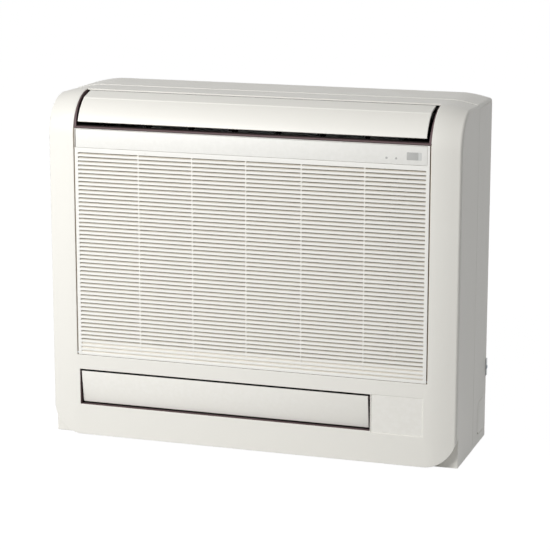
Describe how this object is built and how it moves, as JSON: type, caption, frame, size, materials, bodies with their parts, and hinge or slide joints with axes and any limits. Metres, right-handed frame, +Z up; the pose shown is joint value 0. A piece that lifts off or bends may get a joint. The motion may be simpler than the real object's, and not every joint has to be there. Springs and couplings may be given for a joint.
{
  "type": "floor standing air conditioner",
  "caption": "Low floor console air conditioner with a hinged louvred intake grille, an upper flap and a lower shutter over its two air outlets.",
  "frame": {"origin": "middle of the footprint, on the floor", "axes": "+X to the right seen from the front, +Y to the back, +Z up; the front faces -Y"},
  "size_m": [0.7256, 0.225, 0.6],
  "materials": {
    "casing_cream": "fine-textured moulded plastic, warm white",
    "panel_cream": "smooth moulded plastic, warm white",
    "duct_dark": "near-black moulded plastic",
    "lens_grey": "translucent grey plastic",
    "galvanised_steel": "galvanised sheet",
    "fin_aluminium": "thin pressed fins",
    "copper_tube": "drawn copper, slightly tarnished",
    "flare_brass": "machined brass",
    "grey_plastic": "moulded grey plastic",
    "white_plastic": "moulded white plastic",
    "filter_net": "fine woven plastic net in a frame",
    "circuit_board": "lacquered circuit board",
    "screw_steel": "zinc-plated steel"
  },
  "bodies": {
    "root": {"front_casing": "casing_cream", "rear_casing": "casing_cream", "service_cover": "casing_cream", "knockout_cover_left": "casing_cream", "knockout_cover_right": "casing_cream", "base_pan": "galvanised_steel", "back_plate": "galvanised_steel", "motor_bracket": "galvanised_steel", "electrical_box": "galvanised_steel", "box_lid": "galvanised_steel", "flap_motor": "galvanised_steel", "shutter_motor": "galvanised_steel", "tab_screw_left": "screw_steel", "tab_screw_right": "screw_steel", "upper_duct": "duct_dark", "lower_duct": "duct_dark", "terminal_block": "duct_dark", "room_sensor": "duct_dark", "bell_mouth": "grey_plastic", "air_guide": "white_plastic", "fan_motor": "white_plastic", "drain_pan": "white_plastic", "inner_frame": "white_plastic", "filter_left": "filter_net", "filter_right": "filter_net", "fin_block": "fin_aluminium", "coil_end_left": "copper_tube", "coil_end_right": "copper_tube", "gas_pipe": "copper_tube", "liquid_pipe": "copper_tube", "gas_flare_nut": "flare_brass", "liquid_flare_nut": "flare_brass", "control_board": "circuit_board", "display_board": "circuit_board"},
    "grille": {"intake_grille": "panel_cream", "rib_frame": "panel_cream", "band_strip": "panel_cream", "receiver_window": "lens_grey", "led_lens_left": "lens_grey", "led_lens_right": "lens_grey", "hinge_pin_left": "screw_steel", "hinge_pin_right": "screw_steel"},
    "flap": {"upper_flap": "panel_cream"},
    "shutter": {"lower_shutter": "panel_cream"},
    "fan": {"turbo_fan": "grey_plastic", "fan_nut": "screw_steel", "fan_shaft": "screw_steel"},
    "latch_left": {"push_latch_left": "white_plastic"},
    "latch_right": {"push_latch_right": "white_plastic"},
    "tie_bar": {"vane_tie_bar": "duct_dark"},
    "vane_1": {"guide_vane_1": "duct_dark"},
    "vane_2": {"guide_vane_2": "duct_dark"},
    "vane_3": {"guide_vane_3": "duct_dark"},
    "vane_4": {"guide_vane_4": "duct_dark"},
    "vane_5": {"guide_vane_5": "duct_dark"},
    "vane_6": {"guide_vane_6": "duct_dark"},
    "vane_7": {"guide_vane_7": "duct_dark"},
    "vane_8": {"guide_vane_8": "duct_dark"}
  },
  "joints": [
    {"name": "grille_hinge", "type": "hinge", "parent": "root", "child": "grille", "pos_m": [0, -0.1095, 0.15], "axis": [1, 0, 0], "range_deg": [0, 75]},
    {"name": "flap_hinge", "type": "hinge", "parent": "root", "child": "flap", "pos_m": [0, -0.066, 0.58], "axis": [-1, 0, 0], "range_deg": [0, 60]},
    {"name": "shutter_hinge", "type": "hinge", "parent": "root", "child": "shutter", "pos_m": [0, -0.1055, 0.113], "axis": [-1, 0, 0], "range_deg": [0, 60]},
    {"name": "fan_spin", "type": "hinge", "parent": "root", "child": "fan", "pos_m": [-0.036, 0, 0.335], "axis": [0, 1, 0], "continuous": true},
    {"name": "latch_left_push", "type": "slide", "parent": "root", "child": "latch_left", "axis": [0, 1, 0], "range_m": [0, 0.003], "stiffness_N_per_m": 150, "springref_m": -0.004},
    {"name": "latch_right_push", "type": "slide", "parent": "root", "child": "latch_right", "axis": [0, 1, 0], "range_m": [0, 0.003], "stiffness_N_per_m": 150, "springref_m": -0.004},
    {"name": "vane_1_swing", "type": "hinge", "parent": "root", "child": "vane_1", "pos_m": [-0.2695, -0.072, 0.55], "axis": [0, 0, 1], "range_deg": [-30, 30]},
    {"name": "vane_2_swing", "type": "hinge", "parent": "root", "child": "vane_2", "pos_m": [-0.1925, -0.072, 0.55], "axis": [0, 0, 1], "range_deg": [-30, 30]},
    {"name": "vane_3_swing", "type": "hinge", "parent": "root", "child": "vane_3", "pos_m": [-0.1155, -0.072, 0.55], "axis": [0, 0, 1], "range_deg": [-30, 30]},
    {"name": "vane_4_swing", "type": "hinge", "parent": "root", "child": "vane_4", "pos_m": [-0.0385, -0.072, 0.55], "axis": [0, 0, 1], "range_deg": [-30, 30]},
    {"name": "vane_5_swing", "type": "hinge", "parent": "root", "child": "vane_5", "pos_m": [0.0385, -0.072, 0.55], "axis": [0, 0, 1], "range_deg": [-30, 30]},
    {"name": "vane_6_swing", "type": "hinge", "parent": "root", "child": "vane_6", "pos_m": [0.1155, -0.072, 0.55], "axis": [0, 0, 1], "range_deg": [-30, 30]},
    {"name": "vane_7_swing", "type": "hinge", "parent": "root", "child": "vane_7", "pos_m": [0.1925, -0.072, 0.55], "axis": [0, 0, 1], "range_deg": [-30, 30]},
    {"name": "vane_8_swing", "type": "hinge", "parent": "root", "child": "vane_8", "pos_m": [0.2695, -0.072, 0.55], "axis": [0, 0, 1], "range_deg": [-30, 30]},
    {"name": "tie_bar_slide", "type": "slide", "parent": "root", "child": "tie_bar", "axis": [1, 0, 0], "range_m": [-0.0073, 0.0073]}
  ],
  "couplings": [
    {"joint": "vane_1_swing", "follows": "tie_bar_slide", "rad_per_m": -71.4},
    {"joint": "vane_2_swing", "follows": "tie_bar_slide", "rad_per_m": -71.4},
    {"joint": "vane_3_swing", "follows": "tie_bar_slide", "rad_per_m": -71.4},
    {"joint": "vane_4_swing", "follows": "tie_bar_slide", "rad_per_m": -71.4},
    {"joint": "vane_5_swing", "follows": "tie_bar_slide", "rad_per_m": -71.4},
    {"joint": "vane_6_swing", "follows": "tie_bar_slide", "rad_per_m": -71.4},
    {"joint": "vane_7_swing", "follows": "tie_bar_slide", "rad_per_m": -71.4},
    {"joint": "vane_8_swing", "follows": "tie_bar_slide", "rad_per_m": -71.4}
  ]
}
